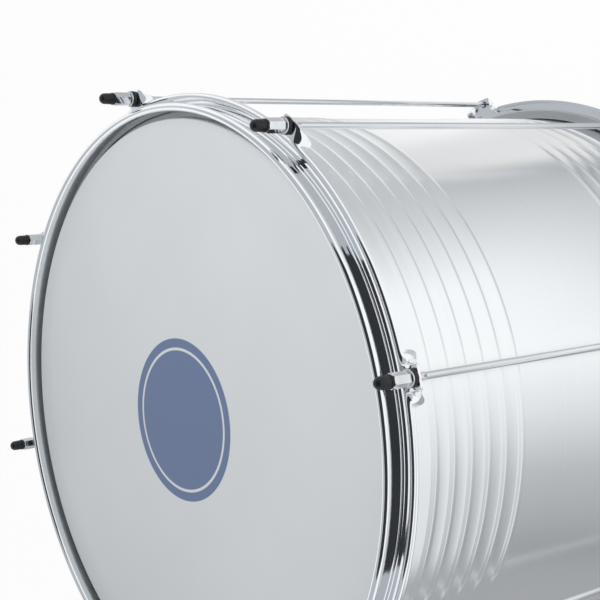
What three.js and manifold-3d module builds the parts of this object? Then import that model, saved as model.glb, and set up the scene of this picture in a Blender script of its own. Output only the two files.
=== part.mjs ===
// A surdo: a large two-headed drum with a ribbed metal shell, pressed hoops and eight tension rods.
// Millimetres, +Z up. The drum stands on its lower rim, with the struck head on top.
// Each end is modelled in its own frame: zero is the outer face of the head, and + points out of the drum.
import * as THREE from "three";
import { mergeVertices } from "three/addons/utils/BufferGeometryUtils.js";
import Module from "manifold-3d";

const wasm = await Module();
wasm.setup();

// Shared values.
const clearance = 0.3;
const cutOverrun = 2;
const lugCount = 8;
const ringSegments = 32;
const smallSegments = 8;
const boreSegments = 16;

// Shell: a rolled sheet with a turned-in bearing edge and a band of ribs near each end.
const shellRadius = 254;
const shellLength = 457.2;
const shellWall = 1.5;
const edgeTurnIn = 2.5;
const edgeDrop = 6;
const edgeLipWidth = 2;
const edgeLipHang = 5;
const edgeStepShares = [0, 0.4, 0.72];
const ribCount = 6;
const ribInset = 39.7;
const ribPitch = 18.6;
const ribWidth = 9.7;
const ribHeight = 1.2;

// Hoop: a rolled rim, an upright wall, a shelf over the flesh hoop and a skirt that opens into the ears.
const hoopGap = 5.5;
const hoopWall = 2.2;
const rimHeight = 14;
const rimRadius = 3.4;
const rimTurnDegrees = [157.5, 112.5, 67.5, 22.5, -22.5, -67.5];
const shelfDepth = 3.5;
const shelfWidth = 9.9;
const shelfFillet = 1;
const skirtBendRadius = 1.6;
const skirtEdge = 2.4;

// Ears: at each rod the skirt swings up level with the shelf. It is longer there, and twists down as a
// lobe on each side.
const rodOffset = 7.7;
const earMargin = 5.8;
const earHalfWidth = 21.5;
const earLevelShare = 0.35;
const earStationShares = [0.35, 0.47, 0.58, 0.69, 0.8, 0.91, 1];
const earHoleSlack = 0.75;
const lobeStartShare = 0.57;
const lobeEndShare = 0.83;
const lobeLength = 9.6;

// Flesh hoop and film of each head.
const fleshHoopGap = 1.3;
const fleshHoopWidth = 9.2;
const fleshHoopHeight = 6.5;
const filmThickness = 0.5;

// Tension rods.
const threadRadius = 3;
const threadDepth = 0.3;
const threadBelowShelf = 11;
const threadPastNut = 3.8;
const rodHeadFlats = 10;
const rodHeadHeight = 5;

// What stands on each ear, and under each rod's head.
const bushingRadius = 6.9;
const bushingHeight = 4;
const washerRadius = 6.8;
const washerHeight = 1.2;
const nutFlats = 10;
const nutHeight = 15.2;
const nutChamfer = 0.9;
const capRadius = 5.1;
const capLength = 13.2;
const capBoreDepth = 5;
const capDomeTurnDegrees = [0, 35, 68];

// Places that follow from the sizes above, in an end's own frame.
const hoopInnerRadius = shellRadius + hoopGap;
const hoopOuterRadius = hoopInnerRadius + hoopWall;
const shelfBottom = -(shelfDepth + hoopWall);
const fleshHoopTop = shelfBottom - clearance;
const filmRingBottom = fleshHoopTop + clearance;
const shellTop = -(filmThickness + clearance);
const headSpan = shellLength - shellTop * 2;
const bearingRadius = shellRadius - edgeTurnIn;
const edgeCentre = shellTop - edgeDrop;
const skirtStartRadius = hoopOuterRadius + shelfWidth;
const skirtOuterRadius = skirtStartRadius + skirtBendRadius + hoopWall / 2;
const skirtBendArc = (skirtBendRadius * Math.PI) / 2;
const rodCircleRadius = skirtOuterRadius + rodOffset;
const earLength = rodCircleRadius + earMargin - skirtStartRadius - skirtBendArc;
const earHoleRadius = threadRadius + earHoleSlack;
const stackBoreRadius = threadRadius + clearance;
const shankRadius = threadRadius - threadDepth;
const bushingBottom = clearance - shelfDepth;
const washerBottom = bushingBottom + bushingHeight + clearance;
const nutBottom = washerBottom + washerHeight + clearance;
const capBottom = nutBottom + nutHeight + clearance;
const lowerWasherBottom = clearance - shelfDepth;
const rodHeadBottom = lowerWasherBottom + washerHeight + clearance;

const radians = THREE.MathUtils.degToRad;
const lugAngles = Array.from({ length: lugCount }, (_, k) => (k * Math.PI * 2) / lugCount);
const ringAngles = Array.from({ length: ringSegments }, (_, k) => (k * Math.PI * 2) / ringSegments);

const finishes = {
  chrome: { color: 0xdde1e4, roughness: 0.08, metalness: 1 },
  aluminium: { color: 0xc8cccf, roughness: 0.36, metalness: 1 },
  steel: { color: 0xb4b8bb, roughness: 0.3, metalness: 1 },
  film: { color: 0xd3d8da, roughness: 0.45, metalness: 0 },
  nylon: { color: 0x141416, roughness: 0.4, metalness: 0 },
  rubber: { color: 0x1c1d20, roughness: 0.62, metalness: 0 },
};

function meshOf(name, geometry, finish) {
  const mesh = new THREE.Mesh(geometry, new THREE.MeshStandardMaterial(finishes[finish]));
  mesh.name = name;
  return mesh;
}

// Turns an outline of [radius, height] points about the Z axis.
function turned(outline, segments) {
  const points = outline.map(([radius, height]) => new THREE.Vector2(radius, height));
  return new THREE.LatheGeometry(points, segments).rotateX(Math.PI / 2);
}

function closed(outline) {
  return [...outline, outline[0]];
}

// The corner radius of a regular polygon whose flat sides lie at the given distance.
function cornerRadius(flatRadius, sides) {
  return flatRadius / Math.cos(Math.PI / sides);
}

function solidOf(geometry) {
  const bare = new THREE.BufferGeometry();
  bare.setAttribute("position", geometry.getAttribute("position"));
  bare.setIndex(geometry.getIndex());
  const merged = mergeVertices(bare);
  return new wasm.Manifold(
    new wasm.Mesh({
      numProp: 3,
      vertProperties: merged.getAttribute("position").array,
      triVerts: new Uint32Array(merged.getIndex().array),
    }),
  );
}

function geometryOf(solid) {
  const { numProp, vertProperties, triVerts } = solid.getMesh();
  const geometry = new THREE.BufferGeometry();
  const position = new Float32Array((vertProperties.length / numProp) * 3);
  for (let i = 0; i * numProp < vertProperties.length; i++)
    position.set(vertProperties.subarray(i * numProp, i * numProp + 3), i * 3);
  geometry.setAttribute("position", new THREE.BufferAttribute(position, 3));
  geometry.setIndex(new THREE.BufferAttribute(triVerts, 1));
  geometry.computeVertexNormals();
  return geometry;
}

// A point on the bearing edge's quarter ellipse, moved outwards by an offset. The share runs from
// the crown to the outside of the shell.
function edgePoint(share, offset) {
  const turn = (share * Math.PI) / 2;
  const radius = bearingRadius + (edgeTurnIn + offset) * Math.sin(turn);
  return [radius, edgeCentre + (edgeDrop + offset) * Math.cos(turn)];
}

// One end of the shell's outline, from the lip inside the drum over the crown to the outside.
function shellEdge() {
  const lipRadius = bearingRadius - edgeLipWidth;
  const underside = shellTop - shellWall;
  return [
    [shellRadius - shellWall, edgeCentre],
    [bearingRadius, underside],
    [lipRadius + shellWall, shellTop - edgeLipHang],
    [lipRadius, shellTop - edgeLipHang],
    [lipRadius, underside],
    ...filmShares().map((share) => edgePoint(share, 0)),
    [shellRadius, edgeCentre],
  ];
}

// The stations of the bearing edge that the film touches, the last at the height of the flesh hoop.
function filmShares() {
  const endTurn = Math.acos((filmRingBottom - edgeCentre) / (edgeDrop + clearance));
  const endShare = endTurn / (Math.PI / 2);
  return [...edgeStepShares.map((share) => share * endShare), endShare];
}

function shell() {
  const upper = shellEdge();
  for (let k = 0; k < ribCount; k++) {
    const start = shellTop - ribInset - k * ribPitch;
    upper.push(
      [shellRadius, start],
      [shellRadius + ribHeight, start - ribWidth / 2],
      [shellRadius, start - ribWidth],
    );
  }
  const middle = shellTop - shellLength / 2;
  const lower = upper.map(([radius, height]) => [radius, middle * 2 - height]).reverse();
  return turned(closed([...upper, ...lower].reverse()), ringSegments);
}

function fleshHoop() {
  const innerRadius = shellRadius + fleshHoopGap;
  const outerRadius = innerRadius + fleshHoopWidth;
  const bottom = fleshHoopTop - fleshHoopHeight;
  return turned(
    closed([
      [innerRadius, bottom],
      [outerRadius, bottom],
      [outerRadius, fleshHoopTop],
      [innerRadius, fleshHoopTop],
    ]),
    ringSegments,
  );
}

// The film is flat over the crown, follows the bearing edge down and ends on the flesh hoop.
function film() {
  const ringRadius = hoopInnerRadius - clearance * 2;
  const shares = filmShares();
  const below = shares.map((share) => edgePoint(share, clearance));
  const above = shares.slice(0, -1).map((share) => edgePoint(share, clearance + filmThickness));
  const ringTop = filmRingBottom + filmThickness;
  const bend = [below.at(-1)[0] + filmThickness, ringTop];
  return turned(
    [
      [0, below[0][1]],
      ...below,
      [ringRadius, filmRingBottom],
      [ringRadius, ringTop],
      bend,
      ...above.reverse(),
      [0, 0],
    ],
    ringSegments,
  );
}

// The skirt's slope at a distance along the hoop from a rod: level on the ear, then ever steeper.
function skirtSlope(distance) {
  const turnedShare = THREE.MathUtils.smoothstep(distance, earLevelShare * earHalfWidth, earHalfWidth);
  return (turnedShare * Math.PI) / 2;
}

// The skirt's length beyond its bend at a distance from a rod: ear, lobe, then the even skirt.
function skirtLength(distance) {
  const { lerp, smoothstep } = THREE.MathUtils;
  const lobeShare = smoothstep(distance, earLevelShare * earHalfWidth, lobeStartShare * earHalfWidth);
  const evenShare = smoothstep(distance, lobeEndShare * earHalfWidth, earHalfWidth);
  return lerp(lerp(earLength, lobeLength, lobeShare), skirtEdge, evenShare);
}

// The angles at which the skirt needs its own sections: those of the ring and those of the ears.
function skirtAngles() {
  const turns = earStationShares.map((share) => (share * earHalfWidth) / rodCircleRadius);
  const besideRods = lugAngles.flatMap((angle) => turns.flatMap((turn) => [angle - turn, angle + turn]));
  const betweenRods = ringAngles.filter((angle) => distanceToRod(angle) > earHalfWidth);
  return [...besideRods, ...betweenRods]
    .map((angle) => (angle + Math.PI * 2) % (Math.PI * 2))
    .sort((a, b) => a - b);
}

function distanceToRod(angle) {
  const pitch = (Math.PI * 2) / lugCount;
  const turn = Math.abs(angle - Math.round(angle / pitch) * pitch);
  return turn * rodCircleRadius;
}

// A point of the skirt's section on its upper or lower face. The share runs from 0 where the bend
// starts to 1 where it ends, and anything over 1 is the skirt's edge.
function skirtPoint(angle, share, side) {
  const distance = distanceToRod(angle);
  const half = hoopWall / 2;
  const bendShare = Math.min(share, 1);
  const turn = skirtSlope(distance) * bendShare;
  const chord = skirtBendArc * bendShare * sineShare(turn / 2);
  const edge = share > 1 ? skirtLength(distance) : 0;
  const radius = skirtStartRadius + chord * Math.cos(turn / 2) + edge * Math.cos(turn);
  const height = -chord * Math.sin(turn / 2) - edge * Math.sin(turn);
  return [
    radius + half * side * Math.sin(turn),
    height - shelfDepth - half + half * side * Math.cos(turn),
  ];
}

// The sine of a turn over the turn itself.
function sineShare(turn) {
  return turn > 0 ? Math.sin(turn) / turn : 1;
}

function ringAt(angles, pointAt) {
  return angles.map((angle) => {
    const [radius, height] = pointAt(angle);
    return { angle, place: [radius * Math.cos(angle), radius * Math.sin(angle), height] };
  });
}

// Joins rings of points, each in order of angle, into one closed surface. Rings may differ in count.
function skinned(rings) {
  const position = rings.flatMap((ring) => ring.flatMap((point) => point.place));
  const starts = [];
  rings.reduce((count, ring) => {
    starts.push(count);
    return count + ring.length;
  }, 0);
  const turnAt = (ring, i) => ring[i % ring.length].angle + (i >= ring.length ? Math.PI * 2 : 0);
  const index = [];
  rings.forEach((ring, k) => {
    const next = rings[(k + 1) % rings.length];
    const a = (i) => starts[k] + (i % ring.length);
    const b = (i) => starts[(k + 1) % rings.length] + (i % next.length);
    let i = 0;
    let j = 0;
    while (i < ring.length || j < next.length) {
      const stepFirst = j === next.length || (i < ring.length && turnAt(ring, i + 1) <= turnAt(next, j + 1));
      if (stepFirst) {
        index.push(a(i), b(j), a(i + 1));
        i += 1;
      } else {
        index.push(a(i), b(j), b(j + 1));
        j += 1;
      }
    }
  });
  const geometry = new THREE.BufferGeometry();
  geometry.setAttribute("position", new THREE.Float32BufferAttribute(position, 3));
  geometry.setIndex(index);
  return geometry;
}

// The pressed hoop: its rim, wall and shelf go round evenly, and its skirt rises into an ear at each rod.
function hoop() {
  const rimCentre = hoopInnerRadius + rimRadius;
  const rimMiddle = rimHeight - rimRadius;
  const rimCorner = cornerRadius(rimRadius, rimTurnDegrees.length + 2);
  const rim = rimTurnDegrees.map((degrees) => [
    rimCentre + rimCorner * Math.cos(radians(degrees)),
    rimMiddle + rimCorner * Math.sin(radians(degrees)),
  ]);
  const even = [
    [hoopInnerRadius + shelfFillet, shelfBottom],
    [hoopInnerRadius, shelfBottom + shelfFillet],
    ...rim,
    [hoopOuterRadius, rimMiddle - rimRadius],
    [hoopOuterRadius, shelfFillet - shelfDepth],
    [hoopOuterRadius + shelfFillet, -shelfDepth],
  ];
  const angles = skirtAngles();
  const alongShares = [0, 0.5, 1, 2];
  const upper = alongShares.map((share) => ringAt(angles, (angle) => skirtPoint(angle, share, 1)));
  const lower = alongShares.map((share) => ringAt(angles, (angle) => skirtPoint(angle, share, -1)));
  const rings = [
    ...even.map((point) => ringAt(ringAngles, () => point)),
    ...upper,
    ...lower.reverse(),
  ];
  return lugAngles.reduce((solid, angle) => {
    const hole = turned(
      [
        [0, shelfBottom - cutOverrun],
        [earHoleRadius, shelfBottom - cutOverrun],
        [earHoleRadius, cutOverrun - shelfDepth],
        [0, cutOverrun - shelfDepth],
      ],
      boreSegments,
    );
    hole.translate(rodCircleRadius * Math.cos(angle), rodCircleRadius * Math.sin(angle), 0);
    return solid.subtract(solidOf(hole));
  }, solidOf(skinned(rings)));
}

// A flat ring round a rod, such as a washer or a bushing.
function collar(radius, bottom, height, segments) {
  const inner = cornerRadius(stackBoreRadius, segments);
  return turned(
    closed([
      [inner, bottom],
      [radius, bottom],
      [radius, bottom + height],
      [inner, bottom + height],
    ]),
    segments,
  );
}

// A six-sided nut with both ends chamfered.
function nut() {
  const sides = 6;
  const corner = cornerRadius(nutFlats / 2, sides);
  const bore = cornerRadius(threadRadius + clearance, sides);
  const top = nutBottom + nutHeight;
  return turned(
    closed([
      [bore, nutBottom],
      [corner - nutChamfer, nutBottom],
      [corner, nutBottom + nutChamfer],
      [corner, top - nutChamfer],
      [corner - nutChamfer, top],
      [bore, top],
    ]),
    sides,
  );
}

// A soft cap over the end of a rod, with a round tip.
function cap() {
  const bore = cornerRadius(threadRadius + clearance, smallSegments);
  const domeStart = capBottom + capLength - capRadius;
  const dome = capDomeTurnDegrees.map((degrees) => [
    capRadius * Math.cos(radians(degrees)),
    domeStart + capRadius * Math.sin(radians(degrees)),
  ]);
  return turned(
    [
      [0, capBottom + capBoreDepth],
      [bore, capBottom + capBoreDepth],
      [bore, capBottom],
      [capRadius, capBottom],
      ...dome,
      [0, capBottom + capLength],
    ],
    smallSegments,
  );
}

// A rod in the upper end's frame: its six-sided head lies outside the lower hoop.
function rod() {
  const lowerEnd = (height) => -headSpan - height;
  const sides = 6;
  const headCorner = cornerRadius(rodHeadFlats / 2, sides);
  const seat = lowerEnd(rodHeadBottom);
  const head = turned(
    [
      [0, seat - rodHeadHeight],
      [headCorner, seat - rodHeadHeight],
      [headCorner, seat],
      [0, seat],
    ],
    sides,
  );
  const threadStart = -shelfDepth - threadBelowShelf;
  const tip = nutBottom + nutHeight + threadPastNut;
  const stem = turned(
    [
      [0, seat - rodHeadHeight / 2],
      [shankRadius, seat - rodHeadHeight / 2],
      [shankRadius, threadStart],
      [threadRadius, threadStart],
      [threadRadius, tip],
      [0, tip],
    ],
    smallSegments,
  );
  return solidOf(head).add(solidOf(stem));
}

// The two ends are alike but for what stands on their ears.
function end(name) {
  const group = new THREE.Group();
  group.add(
    meshOf(name + "_hoop", geometryOf(hoop()), "chrome"),
    meshOf(name + "_flesh_hoop", fleshHoop(), "aluminium"),
    meshOf(name + "_head", film(), "film"),
  );
  return group;
}

// Repeats a piece at each rod, turned to face outwards.
function atRods(name, makeGeometry, finish) {
  return lugAngles.map((angle, k) => {
    const mesh = meshOf(name + "_" + (k + 1), makeGeometry(), finish);
    mesh.position.set(rodCircleRadius * Math.cos(angle), rodCircleRadius * Math.sin(angle), 0);
    mesh.rotation.z = angle;
    return mesh;
  });
}

const drum = new THREE.Group();

const batterEnd = end("batter");
batterEnd.position.z = rimHeight + headSpan;
batterEnd.add(
  meshOf("shell", shell(), "aluminium"),
  ...atRods("rod", () => geometryOf(rod()), "steel"),
  ...atRods("bushing", () => collar(bushingRadius, bushingBottom, bushingHeight, smallSegments), "nylon"),
  ...atRods("nut_washer", () => collar(washerRadius, washerBottom, washerHeight, smallSegments), "chrome"),
  ...atRods("tuning_nut", nut, "chrome"),
  ...atRods("cap", cap, "rubber"),
);
drum.add(batterEnd);

const resonantEnd = end("resonant");
resonantEnd.position.z = rimHeight;
resonantEnd.rotation.x = Math.PI;
resonantEnd.add(
  ...atRods("head_washer", () => collar(washerRadius, lowerWasherBottom, washerHeight, smallSegments), "chrome"),
);
drum.add(resonantEnd);

export default drum;
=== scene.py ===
import math

import bmesh
import bpy
from mathutils import Matrix


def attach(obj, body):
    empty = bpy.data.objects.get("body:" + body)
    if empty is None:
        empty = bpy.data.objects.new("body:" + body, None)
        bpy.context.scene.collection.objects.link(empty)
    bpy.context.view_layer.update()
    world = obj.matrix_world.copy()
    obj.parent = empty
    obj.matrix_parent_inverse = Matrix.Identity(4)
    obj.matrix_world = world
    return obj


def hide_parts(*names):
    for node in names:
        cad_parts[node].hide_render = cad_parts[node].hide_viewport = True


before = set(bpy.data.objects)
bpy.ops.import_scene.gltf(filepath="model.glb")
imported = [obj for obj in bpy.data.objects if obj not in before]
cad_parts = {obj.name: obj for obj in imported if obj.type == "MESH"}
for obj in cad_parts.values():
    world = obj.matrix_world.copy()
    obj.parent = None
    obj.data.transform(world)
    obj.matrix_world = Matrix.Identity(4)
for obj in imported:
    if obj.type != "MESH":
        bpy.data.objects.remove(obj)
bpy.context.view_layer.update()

mm = 0.001

# Shared by all pieces, in millimetres. At each end heights count outwards from the face of its head.
drum = {
    "topHead": 472.8,  # height of the struck head above the floor
    "lowHead": 14.0,
    "rods": 8,
    "rodCircle": 282.0,
    "shellRadius": 254.0,
    "shellLength": 457.2,
    "film": 0.5,
    "gap": 0.3,
    "weld": 0.004,  # points of a turned piece that are nearer than this become one
}
topPlace = Matrix.Translation((0, 0, drum["topHead"] * mm))
lowPlace = Matrix.Translation((0, 0, drum["lowHead"] * mm)) @ Matrix.Rotation(math.pi, 4, "X")
rodTurns = [math.tau * k / drum["rods"] for k in range(drum["rods"])]


# Colours are given as they look, 0 to 255.
def paint(r, g, b):
    return tuple(((c / 255 + 0.055) / 1.055) ** 2.4 for c in (r, g, b)) + (1.0,)


def pickAll(pieces):
    bpy.ops.object.select_all(action="DESELECT")
    for piece in pieces:
        piece.select_set(True)
    if pieces:
        bpy.context.view_layer.objects.active = pieces[0]


# A plane is cut down to one corner, and that corner is drawn along the profile.
def drawProfile(name, points):
    pickAll([])
    bpy.ops.mesh.primitive_plane_add(size=2 * mm, location=(0, 0, 0))
    piece = bpy.context.object
    piece.name = piece.data.name = name
    bpy.ops.object.mode_set(mode="EDIT")
    sheet = bmesh.from_edit_mesh(piece.data)
    sheet.verts.ensure_lookup_table()
    for vert in sheet.verts:
        vert.select_set(vert.index != 0)
    sheet.select_flush_mode()
    corner = sheet.verts[0].co.copy()
    bmesh.update_edit_mesh(piece.data)
    bpy.ops.mesh.delete(type="VERT")
    bpy.ops.mesh.select_all(action="SELECT")
    r, z = points[0]
    bpy.ops.transform.translate(value=(r * mm - corner.x, -corner.y, z * mm - corner.z))
    for (r0, z0), (r1, z1) in zip(points, points[1:]):
        step = ((r1 - r0) * mm, 0, (z1 - z0) * mm)
        bpy.ops.mesh.extrude_region_move(TRANSFORM_OT_translate={"value": step})
    bpy.ops.mesh.select_all(action="SELECT")
    return piece


def spin(steps, angle):
    bpy.ops.mesh.spin(steps=steps, angle=angle, center=(0, 0, 0), axis=(0, 0, 1))


# Joins near points and leaves edit mode.
def closeMesh(weld):
    bpy.ops.mesh.select_all(action="SELECT")
    bpy.ops.mesh.remove_doubles(threshold=weld * mm)
    bpy.ops.mesh.normals_make_consistent(inside=False)
    bpy.ops.object.mode_set(mode="OBJECT")


# Draws a profile and turns it about the drum's axis.
def turn(name, points, steps):
    piece = drawProfile(name, points)
    spin(steps, math.tau)
    closeMesh(drum["weld"])
    return piece


def applyTo(piece, modifier):
    pickAll([piece])
    bpy.ops.object.modifier_apply(modifier=modifier.name)


def thicken(piece, thickness):
    wall = piece.modifiers.new("wall", "SOLIDIFY")
    wall.thickness = thickness * mm
    wall.offset = 0
    wall.use_even_offset = True
    applyTo(piece, wall)


def cutWith(piece, tool, how="DIFFERENCE"):
    cut = piece.modifiers.new("cut", "BOOLEAN")
    cut.operation = how
    cut.object = tool
    cut.solver = "EXACT"
    applyTo(piece, cut)
    pickAll([tool])
    bpy.ops.object.delete()


def roundEdges(piece, width, sharpest):
    edges = piece.modifiers.new("edges", "BEVEL")
    edges.width = width * mm
    edges.segments = 2
    edges.limit_method = "ANGLE"
    edges.angle_limit = math.radians(sharpest)
    applyTo(piece, edges)


def smooth(piece, degrees=35):
    pickAll([piece])
    bpy.ops.object.shade_smooth_by_angle(angle=math.radians(degrees))


def arc(centre, radius, start, end, steps):
    turns = [math.radians(start + (end - start) * k / steps) for k in range(steps + 1)]
    return [(centre[0] + radius * math.cos(t), centre[1] + radius * math.sin(t)) for t in turns]


def copyOf(piece, name):
    twin = piece.copy()
    twin.data = piece.data.copy()
    twin.name = twin.data.name = name
    bpy.context.collection.objects.link(twin)
    return twin


def joinAll(pieces):
    pickAll(pieces)
    bpy.ops.object.join()


# Copies a piece to every rod's turn about the drum's axis, as one mesh.
def joinAround(piece):
    parts = [piece] + [copyOf(piece, piece.name + "Part") for k in range(1, drum["rods"])]
    for part, turned in zip(parts, rodTurns):
        part.data.transform(Matrix.Rotation(turned, 4, "Z"))
    joinAll(parts)


# Puts a finished mesh in its place, with the object itself left at the origin.
def settle(piece, place, material):
    piece.data.transform(place)
    piece.data.update()
    piece.data.materials.clear()
    piece.data.materials.append(material)


def dress(piece, body, node):
    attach(piece, body)
    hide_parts(node)


def newMaterial(name):
    material = bpy.data.materials.new(name)
    material.use_nodes = True
    return material


def shader(material):
    return material.node_tree.nodes["Principled BSDF"]


# An input is set to a value, or linked where the value is another node's output.
def feed(owner, value, socket):
    if isinstance(value, bpy.types.NodeSocket):
        owner.node_tree.links.new(value, socket)
    else:
        socket.default_value = value


# Adds a node to a material or world and feeds its inputs in their order.
def addNode(owner, kind, *values):
    node = owner.node_tree.nodes.new(kind)
    for value, socket in zip(values, node.inputs):
        feed(owner, value, socket)
    return node


def mathNode(owner, operation, *values):
    node = addNode(owner, "ShaderNodeMath", *values)
    node.operation = operation
    return node.outputs["Value"]


def vectorNode(owner, operation, *values):
    node = addNode(owner, "ShaderNodeVectorMath", *values)
    node.operation = operation
    return node.outputs


# The colours of a mix node are its inputs 6 and 7 and its output 2.
def mixColours(owner, factor, first, second):
    node = addNode(owner, "ShaderNodeMix", factor)
    node.data_type = "RGBA"
    feed(owner, first, node.inputs[6])
    feed(owner, second, node.inputs[7])
    return node.outputs[2]


# Carries the stretch between two edges over to low and high. Noise keeps mostly to 0.3 to 0.7.
def between(owner, source, low, high, edges=(0.3, 0.7), curve="LINEAR"):
    node = addNode(owner, "ShaderNodeMapRange", source, *edges, low, high)
    node.interpolation_type = curve
    return node.outputs["Result"]


def eased(owner, source, edges, low=0, high=1):
    return between(owner, source, low, high, edges, "SMOOTHSTEP")


# A noise that follows the piece, stretched by a scale on each axis, in cycles a metre.
def grain(material, scale, detail=3.0, roughness=0.5):
    coords = addNode(material, "ShaderNodeTexCoord").outputs["Object"]
    mapping = addNode(material, "ShaderNodeMapping", coords)
    mapping.inputs["Scale"].default_value = scale
    noise = addNode(material, "ShaderNodeTexNoise", mapping.outputs["Vector"])
    noise.inputs["Scale"].default_value = 1.0
    noise.inputs["Detail"].default_value = detail
    noise.inputs["Roughness"].default_value = roughness
    return noise.outputs["Fac"]


def relief(material, source, strength, depth):
    node = addNode(material, "ShaderNodeBump", strength, depth * mm)
    feed(material, source, node.inputs["Height"])
    return node.outputs["Normal"]


def coat(material, colour, roughness, normal):
    for name, value in (("Base Color", colour), ("Roughness", roughness), ("Normal", normal)):
        feed(material, value, shader(material).inputs[name])
    return material


def metal(name, light, dark, roughness, lines, smudge, depth):
    material = newMaterial(name)
    shader(material).inputs["Metallic"].default_value = 1.0
    fine = grain(material, lines)
    broad = grain(material, (smudge,) * 3, detail=2.0)
    colour = mixColours(material, between(material, fine, 0, 1), dark, light)
    scratches = relief(material, fine, strength=0.3, depth=depth)
    return coat(material, colour, between(material, broad, *roughness), scratches)


def plastic(name, colour, worn, roughness, lines, smudge, depth):
    material = newMaterial(name)
    fine = grain(material, (lines,) * 3, detail=4.0)
    broad = grain(material, (smudge,) * 3, detail=2.0)
    colour = mixColours(material, between(material, broad, 0, 1), colour, worn)
    pores = relief(material, fine, strength=0.4, depth=depth)
    return coat(material, colour, between(material, fine, *roughness), pores)


film = {
    "colour": paint(203, 207, 210),
    "cloud": paint(198, 202, 205),
    # The collar's tone is painted shade, where the film bends down into the crevice by the hoop wall.
    "collar": paint(168, 170, 172),
    "roughness": (0.42, 0.5),
    "cloudScale": 7.0,
    "fineScale": 900.0,
    "middle": 243.4,  # the drum's middle above the floor
    "reach": 232.6,  # from there to the end of the colour, before the collar's painted shade
    "collarFade": (2.4, 0.8),
    "ink": paint(92, 109, 142),
    "inkWorn": paint(98, 115, 148),
    "discPlace": (1.9, -2.3),
    "discRadius": 70.4,
    "ringRadius": 62.5,
    "ringWidth": 2.4,
    "edgeBlur": 0.25,
}


# The share of ink at each place: a disc with a thin ring left out of it.
def inkShare(material, coords):
    shift = [-v * mm for v in film["discPlace"]] + [0]
    flat = vectorNode(material, "MULTIPLY_ADD", coords, (1, 1, 0), shift)["Vector"]
    distance = vectorNode(material, "LENGTH", flat)["Value"]

    def inside(radius):
        edges = [(radius + side * film["edgeBlur"]) * mm for side in (-1, 1)]
        return between(material, distance, 1, 0, edges)

    hole = inside(film["ringRadius"] - film["ringWidth"])
    ring = mathNode(material, "SUBTRACT", inside(film["ringRadius"]), hole)
    inked = mathNode(material, "SUBTRACT", inside(film["discRadius"]), ring)
    inked.node.use_clamp = True
    return inked


def filmMaterial(name, printed):
    material = newMaterial(name)
    cloud = grain(material, (film["cloudScale"],) * 3)
    fine = grain(material, (film["fineScale"],) * 3, detail=2.0)
    colour = mixColours(material, between(material, cloud, 0, 1), film["cloud"], film["colour"])
    coords = addNode(material, "ShaderNodeTexCoord").outputs["Object"]
    # Where the film bends down over the edge towards the hoop wall it is painted darker: painted shade of
    # that crevice.
    height = addNode(material, "ShaderNodeSeparateXYZ", coords).outputs["Z"]
    fromMiddle = mathNode(material, "ABSOLUTE", mathNode(material, "SUBTRACT", height, film["middle"] * mm))
    fade = [(film["reach"] - v) * mm for v in film["collarFade"]]
    colour = mixColours(material, between(material, fromMiddle, 0, 1, fade), film["collar"], colour)
    if printed:
        ink = mixColours(material, between(material, fine, 0, 1), film["ink"], film["inkWorn"])
        colour = mixColours(material, inkShare(material, coords), colour, ink)
    waves = relief(material, cloud, strength=0.15, depth=0.3)
    return coat(material, colour, between(material, fine, *film["roughness"]), waves)


print("materials")
shellSatin = metal(
    "shellSatin", paint(252, 254, 255), paint(249, 251, 253),
    roughness=(0.2, 0.25), lines=(3, 3, 900), smudge=5.0, depth=0.002,
)
hoopChrome = metal(
    "hoopChrome", paint(250, 251, 252), paint(244, 246, 248),
    roughness=(0.035, 0.07), lines=(18, 18, 18), smudge=9.0, depth=0.02,
)
hardwareChrome = metal(
    "hardwareChrome", paint(236, 238, 240), paint(222, 225, 228),
    roughness=(0.06, 0.14), lines=(90, 90, 90), smudge=60.0, depth=0.008,
)
rodSteel = metal(
    "rodSteel", paint(238, 240, 242), paint(220, 223, 226),
    roughness=(0.1, 0.17), lines=(900, 900, 12), smudge=40.0, depth=0.006,
)
fleshMetal = metal(
    "fleshHoopMetal", paint(212, 214, 216), paint(196, 198, 200),
    roughness=(0.32, 0.44), lines=(5, 5, 1200), smudge=20.0, depth=0.008,
)
printedFilm = filmMaterial("printedFilm", True)
plainFilm = filmMaterial("plainFilm", False)
bushingBlack = plastic(
    "bushingBlack", paint(12, 12, 13), paint(18, 18, 19),
    roughness=(0.3, 0.4), lines=1500.0, smudge=60.0, depth=0.01,
)
capRubber = plastic(
    "capRubber", paint(12, 13, 16), paint(20, 21, 24),
    roughness=(0.34, 0.46), lines=1100.0, smudge=60.0, depth=0.02,
)

# The shell is one sheet with a turned-in edge and six round ribs near each end.
shell = {
    "wall": 1.5,
    "edgeTurnIn": 1.2,
    "edgeDrop": 6.0,
    "edgeLift": 3.2,
    "edgeSteps": 8,
    "edgeEnd": 8.0,
    "lipWidth": 2.0,
    "lipHang": 5.0,
    "lipBend": [(0, 1.9), (0.25, 1.1)],  # outwards from the lip and down from the edge
    "ribs": 6,
    "ribInset": 39.7,
    "ribPitch": 18.6,
    "ribWidth": 9.7,
    "ribHeight": 0.95,
    "ribSteps": 10,
    "steps": 192,
}
shellTop = -(drum["film"] + drum["gap"])
edgeCentre = (drum["shellRadius"] - shell["edgeTurnIn"], shellTop - shell["edgeDrop"])


# A point of the bearing edge, turned from the top down, or of a line at an offset outside it.
def edgePoint(turned, offset):
    return (
        edgeCentre[0] + (shell["edgeTurnIn"] + offset) * math.sin(turned),
        edgeCentre[1] + (shell["edgeDrop"] + shell["edgeLift"] + offset) * math.cos(turned),
    )


def edgeLine(offset, end, steps):
    return [edgePoint(end * k / steps, offset) for k in range(steps + 1)]


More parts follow.
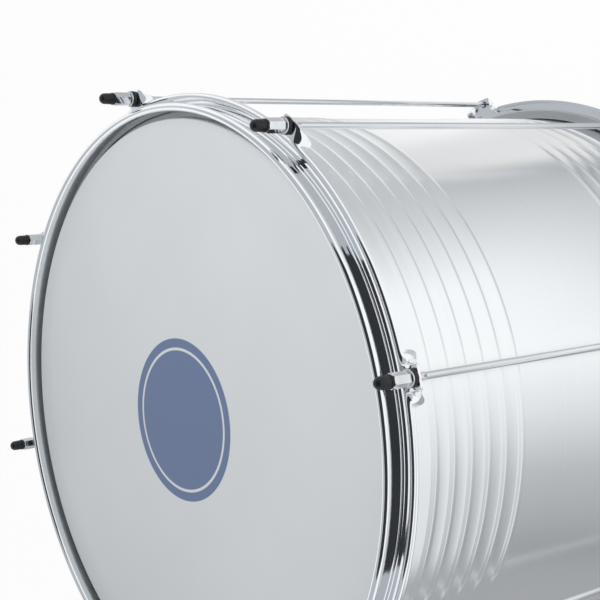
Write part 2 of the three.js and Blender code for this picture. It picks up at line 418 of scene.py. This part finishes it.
def shellProfile():
    half = shell["wall"] / 2
    top = shellTop + shell["edgeLift"]
    lip = edgeCentre[0] - shell["lipWidth"] + half
    wallRadius = drum["shellRadius"] - half
    points = [(lip, top - shell["lipHang"])] + [(lip + out, top - down) for out, down in shell["lipBend"]]
    points += edgeLine(-half, math.pi / 2, shell["edgeSteps"])
    points.append((wallRadius, edgeCentre[1] - shell["edgeEnd"]))
    for k in range(shell["ribs"]):
        start = shellTop - shell["ribInset"] - k * shell["ribPitch"]
        for j in range(shell["ribSteps"] + 1):
            share = j / shell["ribSteps"]
            rise = shell["ribHeight"] * (1 - math.cos(math.tau * share)) / 2
            points.append((wallRadius + rise, start - share * shell["ribWidth"]))
    middle = shellTop - drum["shellLength"] / 2
    return points + [(r, 2 * middle - z) for r, z in reversed(points)]


shellSkin = turn("shellSkin", shellProfile(), shell["steps"])
thicken(shellSkin, shell["wall"])
smooth(shellSkin, degrees=32)
settle(shellSkin, topPlace, shellSatin)
dress(shellSkin, "drum", "shell")
print("shell")

# Each hoop is one pressed sheet, with the skirt swung up level at each rod.
hoop = {
    "sheet": 2.2,
    "innerRadius": 259.5,
    "rimHeight": 14.0,
    "rimRadius": 3.4,
    "curlEnd": -108.0,
    "curlSteps": 18,
    "wallHeights": (6.5, 3.0),
    "shelfDepth": 3.5,
    "shelfSteps": [  # radius, and depth below the shelf
        (264.0, 0.95), (264.3, 0.92), (265.1, 0.69), (265.4, 0.66),
        (268.2, 0.66), (268.5, 0.63), (270.6, 0.03), (271.0, 0),
    ],
    "cornerRadius": 2.1,
    "cornerRise": 0.6,
    "cornerSteps": 7,
    "bendRadius": 1.6,
    "bendSteps": 9,
    "skirtEdge": 2.4,
    "skirtStart": 271.6,
    "skirtShares": [1.33, 1.66, 2],  # a share up to 1 is on the bend, and from 1 to 2 on the flat end
    "earRadius": 287.8,
    "earHalfWidth": 21.5,
    "earMargin": 2.0,
    "earLevel": 0.35,  # shares of the half width, as are the next two
    "lobeStart": 0.57,
    "lobeEnd": 0.83,
    "lobeLength": 9.6,
    "holeRadius": 3.75,
    "holeSteps": 40,
    "drillDepth": 30.0,
    "plainSteps": 9,
    "earSteps": 48,
    "match": 0.03,
    "weld": 0.02,
    "edgeRounding": 0.55,
    "roundedFrom": 60,
}


def easeBetween(value, low, high):
    share = min(max((value - low) / (high - low), 0), 1)
    return share * share * (3 - 2 * share)


def sineShare(turned):
    return math.sin(turned) / turned if turned > 1e-9 else 1.0


# The skirt's middle line at a distance along the hoop from the nearest rod.
def skirtPoint(distance, share):
    width = hoop["earHalfWidth"]
    level, lobeStart, lobeEnd = [hoop[name] * width for name in ("earLevel", "lobeStart", "lobeEnd")]
    slope = easeBetween(distance, level, width) * math.pi / 2
    bend = hoop["bendRadius"] * math.pi / 2
    length = hoop["earRadius"] - hoop["skirtStart"] - bend
    length += (hoop["lobeLength"] - length) * easeBetween(distance, level, lobeStart)
    length += (hoop["skirtEdge"] - length) * easeBetween(distance, lobeEnd, width)
    turned = slope * min(share, 1)
    chord = bend * min(share, 1) * sineShare(turned / 2)
    edge = length * max(share - 1, 0)
    return (
        hoop["skirtStart"] + chord * math.cos(turned / 2) + edge * math.cos(turned),
        -hoop["shelfDepth"] - hoop["sheet"] / 2 - chord * math.sin(turned / 2) - edge * math.sin(turned),
    )


def hoopProfile():
    half, corner = hoop["sheet"] / 2, hoop["cornerRadius"]
    shelf = -hoop["shelfDepth"] - half
    inner = shelf - hoop["shelfSteps"][0][1]
    wall = hoop["innerRadius"] + half
    curl = (hoop["innerRadius"] + hoop["rimRadius"], hoop["rimHeight"] - hoop["rimRadius"])
    points = arc(curl, hoop["rimRadius"] - half, hoop["curlEnd"], 180, hoop["curlSteps"])
    points += [(wall, z) for z in (*hoop["wallHeights"], inner + corner + hoop["cornerRise"])]
    points += arc((wall + corner, inner + corner), corner, 180, 270, hoop["cornerSteps"])
    return points + [(radius, shelf - drop) for radius, drop in hoop["shelfSteps"]]


# One rod's sector. It is turned from the plain profile, and then its skirt is moved to its place.
def makeSector(name):
    shares = [k / hoop["bendSteps"] for k in range(hoop["bendSteps"] + 1)] + hoop["skirtShares"]
    plainSkirt = {share: skirtPoint(math.inf, share) for share in shares}
    piece = drawProfile(name, hoopProfile() + list(plainSkirt.values()))
    halfSector = math.pi / drum["rods"]
    earTurn = (hoop["earHalfWidth"] + hoop["earMargin"]) / drum["rodCircle"]
    bpy.ops.transform.rotate(value=halfSector, orient_axis="Z", center_override=(0, 0, 0))
    spin(hoop["plainSteps"], halfSector - earTurn)
    spin(hoop["earSteps"], 2 * earTurn)
    spin(hoop["plainSteps"], halfSector - earTurn)
    bpy.ops.object.mode_set(mode="OBJECT")

    angles = [math.atan2(vert.co.y, vert.co.x) for vert in piece.data.vertices]
    middle = (min(angles) + max(angles)) / 2
    for vert, angle in zip(piece.data.vertices, angles):
        place = (math.hypot(vert.co.x, vert.co.y) / mm, vert.co.z / mm)
        share = next((s for s, plain in plainSkirt.items() if math.dist(plain, place) < hoop["match"]), None)
        if share is not None:
            r, z = skirtPoint(abs(angle - middle) * drum["rodCircle"], share)
            vert.co = (r * mm * math.cos(angle), r * mm * math.sin(angle), z * mm)
    piece.data.transform(Matrix.Rotation(-middle, 4, "Z"))
    return piece


def drillEars(piece):
    pickAll([])
    bpy.ops.mesh.primitive_cylinder_add(
        vertices=hoop["holeSteps"], radius=hoop["holeRadius"] * mm, depth=hoop["drillDepth"] * mm
    )
    drill = bpy.context.object
    drill.data.transform(Matrix.Translation((drum["rodCircle"] * mm, 0, 0)))
    joinAround(drill)
    cutWith(piece, drill)


def makeHoop(name):
    piece = makeSector(name)
    joinAround(piece)
    bpy.ops.object.mode_set(mode="EDIT")
    closeMesh(hoop["weld"])
    thicken(piece, hoop["sheet"])
    drillEars(piece)
    roundEdges(piece, hoop["edgeRounding"], hoop["roundedFrom"])
    smooth(piece, degrees=40)
    return piece


batterHoop = makeHoop("batterHoopPressing")
resonantHoop = copyOf(batterHoop, "resonantHoopPressing")
settle(batterHoop, topPlace, hoopChrome)
settle(resonantHoop, lowPlace, hoopChrome)
dress(batterHoop, "batter_hoop_set", "batter_hoop")
dress(resonantHoop, "drum", "resonant_hoop")
print("hoops")

# Each head is thin film, flat over the edge of the shell and crimped in a flesh hoop.
head = {
    "flatRings": [0, 60, 120, 180, 225],
    "crimpRadius": 258.9,
    "crimpBottom": -5.7,
    "crimpBend": 0.6,
    "upperShare": 0.94,  # how far the film's upper side follows the edge
    "upperClear": 0.1,
    "edgeSteps": 10,
    "steps": 192,
}


def headProfile():
    gap, thick, top = drum["gap"], drum["film"], shell["edgeLift"]
    crimpTop = head["crimpBottom"] + thick
    end = math.acos((head["crimpBottom"] - edgeCentre[1]) / (shell["edgeDrop"] + top + gap))
    below = [(r, top - thick) for r in head["flatRings"]] + edgeLine(gap, end, head["edgeSteps"])
    crimp = [(head["crimpRadius"], head["crimpBottom"]), (head["crimpRadius"], crimpTop)]
    above = edgeLine(gap + thick, end * head["upperShare"], head["edgeSteps"])
    above = [point for point in above if point[1] > crimpTop + head["upperClear"]]
    bend = [(above[-1][0] + head["crimpBend"], crimpTop)]
    return below + crimp + bend + above[::-1] + [(r, top) for r in head["flatRings"][::-1]]


batterFilm = turn("batterFilm", headProfile(), head["steps"])
smooth(batterFilm, degrees=30)
resonantFilm = copyOf(batterFilm, "resonantFilm")
settle(batterFilm, topPlace, printedFilm)
settle(resonantFilm, lowPlace, plainFilm)
dress(batterFilm, "drum", "batter_head")
dress(resonantFilm, "drum", "resonant_head")

fleshHoop = {
    "inner": 255.3,
    "outer": 264.5,
    "top": -7.1,
    "bottom": -12.5,
    "corner": 1.3,
    "cornerSteps": 4,
    "steps": 160,
}


def fleshProfile():
    c, steps = fleshHoop["corner"], fleshHoop["cornerSteps"]
    inner, outer = fleshHoop["inner"] + c, fleshHoop["outer"] - c
    top, bottom = fleshHoop["top"] - c, fleshHoop["bottom"] + c
    points = arc((outer, bottom), c, -90, 0, steps) + arc((outer, top), c, 0, 90, steps)
    points += arc((inner, top), c, 90, 180, steps) + arc((inner, bottom), c, 180, 270, steps)
    return points + points[:1]


batterFlesh = turn("batterFleshRing", fleshProfile(), fleshHoop["steps"])
smooth(batterFlesh, degrees=40)
resonantFlesh = copyOf(batterFlesh, "resonantFleshRing")
settle(batterFlesh, topPlace, fleshMetal)
settle(resonantFlesh, lowPlace, fleshMetal)
dress(batterFlesh, "batter_hoop_set", "batter_flesh_hoop")
dress(resonantFlesh, "drum", "resonant_flesh_hoop")
print("heads")

# What stands at each rod is modelled once, on the drum's axis.
lug = {"bore": 3.3, "steps": 40, "cornerKept": 0.3}
washer = {"radius": 6.8, "height": 1.2, "rounding": 0.25, "topBottom": 1.1, "lowBottom": -3.2}
bushing = {"radius": 6.9, "height": 4.0, "rounding": 0.5, "bottom": -3.2}


def makeRing(name, ring, bottom):
    inner, outer, top, c = lug["bore"], ring["radius"], bottom + ring["height"], ring["rounding"]
    kept = c * lug["cornerKept"]
    piece = turn(name, [
        (inner, bottom + c), (inner + c, bottom), (outer - c, bottom), (outer - kept, bottom + kept),
        (outer, bottom + c), (outer, top - c), (outer - kept, top - kept), (outer - c, top),
        (inner + c, top), (inner, top - c), (inner, bottom + c),
    ], lug["steps"])
    smooth(piece)
    return piece


nut = {
    "flats": 10.0,
    "bottom": 2.6,
    "height": 15.2,
    "chamfer": 0.9,
    "chamferSlope": 0.58,
    "spare": 0.2,
    "blankSteps": 60,
    "barSpare": 4.0,
}


# A six-sided bar is cut to the shape of a turned blank, which leaves the curved chamfers of a nut.
def hexPiece(name, bottom, height, bore):
    corner = nut["flats"] / 2 / math.cos(math.pi / 6)
    top, slip = bottom + height, nut["chamfer"] * nut["chamferSlope"]
    face, side = corner - nut["chamfer"], corner + nut["spare"]
    blank = [
        (face, bottom), (side, bottom + slip), (side, top - slip), (face, top),
        (bore, top), (bore, bottom), (face, bottom),
    ]
    piece = turn(name, blank, nut["blankSteps"])
    pickAll([])
    bpy.ops.mesh.primitive_cylinder_add(
        vertices=6, radius=corner * mm, depth=(height + nut["barSpare"]) * mm,
        location=(0, 0, (bottom + height / 2) * mm),
    )
    cutWith(piece, bpy.context.object, "INTERSECT")
    smooth(piece, degrees=20)
    return piece


cap = {
    "bottom": 18.1,
    "length": 13.2,
    "hollow": 5.0,
    "foot": [(3.3, 0), (4.9, 0), (5.2, 0.3), (5.2, 1.5), (5.0, 1.8), (4.7, 2.0), (4.8, 2.4)],
    "domeRadius": 4.656,
    "domeHeight": 4.6,
    "domePower": 0.9,
    "domeSteps": 9,
}


def makeCap(name):
    inside = [(0, cap["hollow"]), (lug["bore"], cap["hollow"])]
    domeBottom = cap["length"] - cap["domeHeight"]
    dome = [(cap["domeRadius"], domeBottom)]
    for k in range(1, cap["domeSteps"]):
        t = math.pi / 2 * k / cap["domeSteps"]
        out = cap["domeRadius"] * math.cos(t) ** cap["domePower"]
        dome.append((out, domeBottom + cap["domeHeight"] * math.sin(t)))
    outline = inside + cap["foot"] + dome + [(0, cap["length"])]
    piece = turn(name, [(r, cap["bottom"] + z) for r, z in outline], lug["steps"])
    smooth(piece)
    return piece


rod = {
    "headSeat": -457.1,
    "headHeight": 5.0,
    "headOverlap": 1.0,
    "shankRadius": 2.7,
    "shankGap": 0.6,
    "threadRadius": 3.0,
    "threadDepth": 0.55,
    "threadBottom": -14.5,
    "threadTop": 21.6,
    "pitch": 1.0,
    "crest": (0.42, 0.58),  # shares of the pitch
    "steps": 28,
}


def makeRod(name):
    crest, root, pitch = rod["threadRadius"], rod["threadRadius"] - rod["threadDepth"], rod["pitch"]
    foot = rod["headSeat"] - rod["headOverlap"]
    z = rod["threadBottom"]
    points = [(0, foot), (rod["shankRadius"], foot), (rod["shankRadius"], z - rod["shankGap"])]
    while z < rod["threadTop"] - pitch:
        points += [(root, z)] + [(crest, z + share * pitch) for share in rod["crest"]]
        z += pitch
    points += [(root, z), (root, rod["threadTop"]), (0, rod["threadTop"])]
    stem = turn(name, points, rod["steps"])
    headPiece = hexPiece(name + "Head", rod["headSeat"] - rod["headHeight"], rod["headHeight"], 0)
    joinAll([stem, headPiece])
    smooth(stem, degrees=30)
    return stem


atEachRod = [
    # piece, body, node, slot, material, place
    (makeRing("nutWasherRing", washer, washer["topBottom"]),
     "batter_hoop_set", "nut_washer", "hardware_chrome", hardwareChrome, topPlace),
    (makeRing("headWasherRing", washer, washer["lowBottom"]),
     "drum", "head_washer", "hardware_chrome", hardwareChrome, lowPlace),
    (makeRing("bushingRing", bushing, bushing["bottom"]),
     "batter_hoop_set", "bushing", "bushing_plastic", bushingBlack, topPlace),
    (hexPiece("tuningNutBody", nut["bottom"], nut["height"], lug["bore"]),
     "nut_", "tuning_nut", "hardware_chrome", hardwareChrome, topPlace),
    (makeCap("capBody"), "rod_cap_", "cap", "cap_rubber", capRubber, topPlace),
    (makeRod("rodBody"), "drum", "rod", "rod_steel", rodSteel, topPlace),
]
for piece, body, node, slot, material, place in atEachRod:
    circle = drum["rodCircle"] * mm
    for k, turned in enumerate(rodTurns, 1):
        out = Matrix.Translation((circle * math.cos(turned), circle * math.sin(turned), 0))
        twin = copyOf(piece, f"{piece.name}_{k}")
        settle(twin, out @ place @ Matrix.Rotation(turned, 4, "Z"), material)
        dress(twin, body + str(k) if body.endswith("_") else body, f"{node}_{k}")
    bpy.data.objects.remove(piece)
print("rods and their pieces")

# The studio shows to the camera as plain white, with the drum's shadow. Metal sees more of it: at the
# right a floor toned by the turn about the drum, at the left one toned by x, a light pool further out,
# a far floor, one dark card, and a room that is white low down and greyer overhead.
studio = {
    "white": paint(255, 255, 255),
    "floorSize": 14.0,  # metres, as are all places and reaches here
    "floorColour": paint(250, 250, 250),
    "floorPlain": 0.95,  # how much of the floor the camera sees as plain white
    "leftReach": (0.46, 0.62),  # from the drum's axis
    "leftEdge": (-0.06, 0.08),  # along y
    "openFloor": (0.55, 0.76),  # the light pool, from the drum's axis
    "openShift": 0.2,  # how much further out it starts at the left
    "openShiftEdge": (-0.1, 0.3),  # along y
    "openShare": 0.92,
    "openEnd": (0.78, 0.95),
    "openRest": 0.25,
    "openTurns": [((25, 50), 1, 0), ((-68, -56), 0, 1)],  # degrees about the drum, and the share at each
    "openTone": paint(250, 251, 252),
    "farFloor": (2.0, 3.2),
    "tonesAround": [  # degrees about the drum and grey, 0 to 255
        (-180, 210), (-140, 200), (-128, 172), (-72, 165), (-61, 156), (-52, 169), (-34, 188), (-15, 229),
        (2, 255), (25, 252), (36, 230), (47, 210), (60, 197), (80, 197), (110, 215), (180, 215),
    ],
    "tonesAcross": [  # metres along x and grey
        (0, 253), (0.035, 238), (0.08, 229), (0.12, 229), (0.168, 238), (0.187, 170), (0.208, 184),
        (0.26, 201), (0.32, 215), (0.36, 224), (0.41, 239), (0.47, 251), (0.55, 255),
    ],
    "coolStep": 2,
    "coolAcross": 0.17,
    "fill": paint(190, 190, 190),
    "lowRoom": paint(252, 253, 255),
    "highRoom": paint(182, 187, 192),
    "roomEdge": (0.42, 0.6),  # the upward part of a ray's direction
    "cardHeight": 1.48,
    "cardCorners": [(0, -0.625), (1.8, -2.4), (0, 0.466), (1.8, 1.32)],
    "cardTone": paint(50, 52, 56),
    "keyPower": 6.3,
    "keySize": 1.0,
    "keyPlace": (0.34, 0.38, 1.25),
}


# A row of greys along a value from 0 to 1, a little bluish from coolFrom on.
def toneRow(owner, source, row, coolFrom=0):
    tones = addNode(owner, "ShaderNodeValToRGB", source)
    stops = tones.color_ramp.elements
    stops.remove(stops[1])
    for index, (position, tone) in enumerate(row):
        stop = stops.new(position) if index else stops[0]
        stop.position = position
        cool = studio["coolStep"] if position >= coolFrom else 0
        stop.color = paint(tone, min(tone + cool, 255), min(tone + 2 * cool, 255))
    return tones.outputs["Color"]


# 1 where the camera looks straight on or through the film, else 0.
def seenByCamera(owner, rays):
    return mathNode(owner, "MAXIMUM", rays["Is Camera Ray"], rays["Is Transmission Ray"])


# How open the floor is to light, for what the metal shows.
def lightPool(floor, reach, turned, y):
    shift = eased(floor, y, studio["openShiftEdge"], 0, studio["openShift"])
    nearer = mathNode(floor, "SUBTRACT", reach, shift)
    pool = eased(floor, nearer, studio["openFloor"], 0, studio["openShare"])
    limits = [eased(floor, reach, studio["openEnd"], 1, studio["openRest"])]
    for degrees, low, high in studio["openTurns"]:
        limits.append(eased(floor, turned, [math.radians(v) for v in degrees], low, high))
    for limit in limits:
        pool = mathNode(floor, "MULTIPLY", pool, limit)
    return mathNode(floor, "MAXIMUM", pool, eased(floor, reach, studio["farFloor"]))


def floorTone(floor):
    coords = addNode(floor, "ShaderNodeTexCoord").outputs["Object"]
    x, y = addNode(floor, "ShaderNodeSeparateXYZ", coords).outputs[:2]
    reach = vectorNode(floor, "LENGTH", coords)["Value"]
    turned = mathNode(floor, "ARCTAN2", y, x)
    around = mathNode(floor, "MULTIPLY_ADD", turned, 1 / math.tau, 0.5)
    right = toneRow(floor, around, [(degrees / 360 + 0.5, tone) for degrees, tone in studio["tonesAround"]])
    left = toneRow(floor, x, studio["tonesAcross"], studio["coolAcross"])
    atLeft = eased(floor, y, studio["leftEdge"])
    near = mathNode(floor, "MULTIPLY", eased(floor, reach, studio["leftReach"], 1, 0), atLeft)
    tone = mixColours(floor, near, right, left)
    return mixColours(floor, lightPool(floor, reach, turned, y), tone, studio["openTone"])


def paintStudio(piece, name):
    material = newMaterial(name)
    material.node_tree.nodes.remove(shader(material))
    piece.data.materials.append(material)
    return material


def showSurface(material, surface):
    feed(material, surface, material.node_tree.nodes["Material Output"].inputs["Surface"])


def makeFloor():
    pickAll([])
    bpy.ops.mesh.primitive_plane_add(size=studio["floorSize"], location=(0, 0, 0))
    floor = bpy.context.object
    floor.name = "studioFloor"
    material = paintStudio(floor, "studioFloorPaint")
    rays = addNode(material, "ShaderNodeLightPath").outputs
    glossy = rays["Is Glossy Ray"]
    shown = mixColours(material, glossy, studio["white"], floorTone(material))
    glow = addNode(material, "ShaderNodeEmission", shown)
    plain = addNode(material, "ShaderNodeBsdfDiffuse", studio["floorColour"])
    seen = mathNode(material, "MULTIPLY", seenByCamera(material, rays), studio["floorPlain"])
    seen = mathNode(material, "MAXIMUM", seen, glossy)
    mixed = addNode(material, "ShaderNodeMixShader", seen, plain.outputs[0], glow.outputs[0])
    showSurface(material, mixed.outputs[0])


# A dark card above the side of the camera, which only the metal shows.
def makeCard():
    pickAll([])
    bpy.ops.mesh.primitive_plane_add(size=1, location=(0, 0, studio["cardHeight"]))
    card = bpy.context.object
    card.name = "studioCard"
    for vert, (x, y) in zip(card.data.vertices, studio["cardCorners"]):
        vert.co = (x, y, 0)
    material = paintStudio(card, "studioCardPaint")
    showSurface(material, addNode(material, "ShaderNodeEmission", studio["cardTone"]).outputs[0])
    card.visible_camera = False
    card.visible_diffuse = False
    card.visible_transmission = False
    card.visible_shadow = False


# The room is white to the camera, toned by height to metal, and an even grey as a source of light.
def makeWorld():
    world = bpy.data.worlds.new("studioRoom")
    bpy.context.scene.world = world
    world.use_nodes = True
    direction = addNode(world, "ShaderNodeTexCoord").outputs["Generated"]
    high = eased(world, addNode(world, "ShaderNodeSeparateXYZ", direction).outputs["Z"], studio["roomEdge"])
    room = mixColours(world, high, studio["lowRoom"], studio["highRoom"])
    rays = addNode(world, "ShaderNodeLightPath").outputs
    lit = mixColours(world, rays["Is Glossy Ray"], studio["fill"], room)
    colour = mixColours(world, seenByCamera(world, rays), lit, studio["white"])
    feed(world, colour, world.node_tree.nodes["Background"].inputs["Color"])


def makeKey():
    pickAll([])
    bpy.ops.object.light_add(type="AREA", location=studio["keyPlace"])
    key = bpy.context.object
    key.name = "softboxKey"
    key.data.shape = "SQUARE"
    key.data.size = studio["keySize"]
    key.data.energy = studio["keyPower"]
    key.visible_glossy = False
    key.visible_camera = False
    aim = Matrix.Translation(studio["keyPlace"]).inverted().to_translation()
    key.rotation_euler = aim.to_track_quat("-Z", "Y").to_euler()


camera = {
    "place": (880.85, -2.02, 1047.21),
    "turn": (-8.937, 53.99, -16.304),
    "lens": 73.086,
    "sensor": 36.0,
    "shift": (0.13144, 0.03309),
    "nearest": 20.0,
}


def makeCamera():
    pickAll([])
    bpy.ops.object.camera_add(location=[v * mm for v in camera["place"]])
    view = bpy.context.object
    view.name = "photoCamera"
    view.rotation_euler = [math.radians(v) for v in camera["turn"]]
    view.data.sensor_width = camera["sensor"]
    view.data.lens = camera["lens"]
    view.data.shift_x, view.data.shift_y = camera["shift"]
    view.data.clip_start = camera["nearest"] * mm
    bpy.context.scene.camera = view


makeFloor()
makeCard()
makeWorld()
makeKey()
makeCamera()
bpy.context.scene.view_settings.view_transform = "Standard"
print("studio")
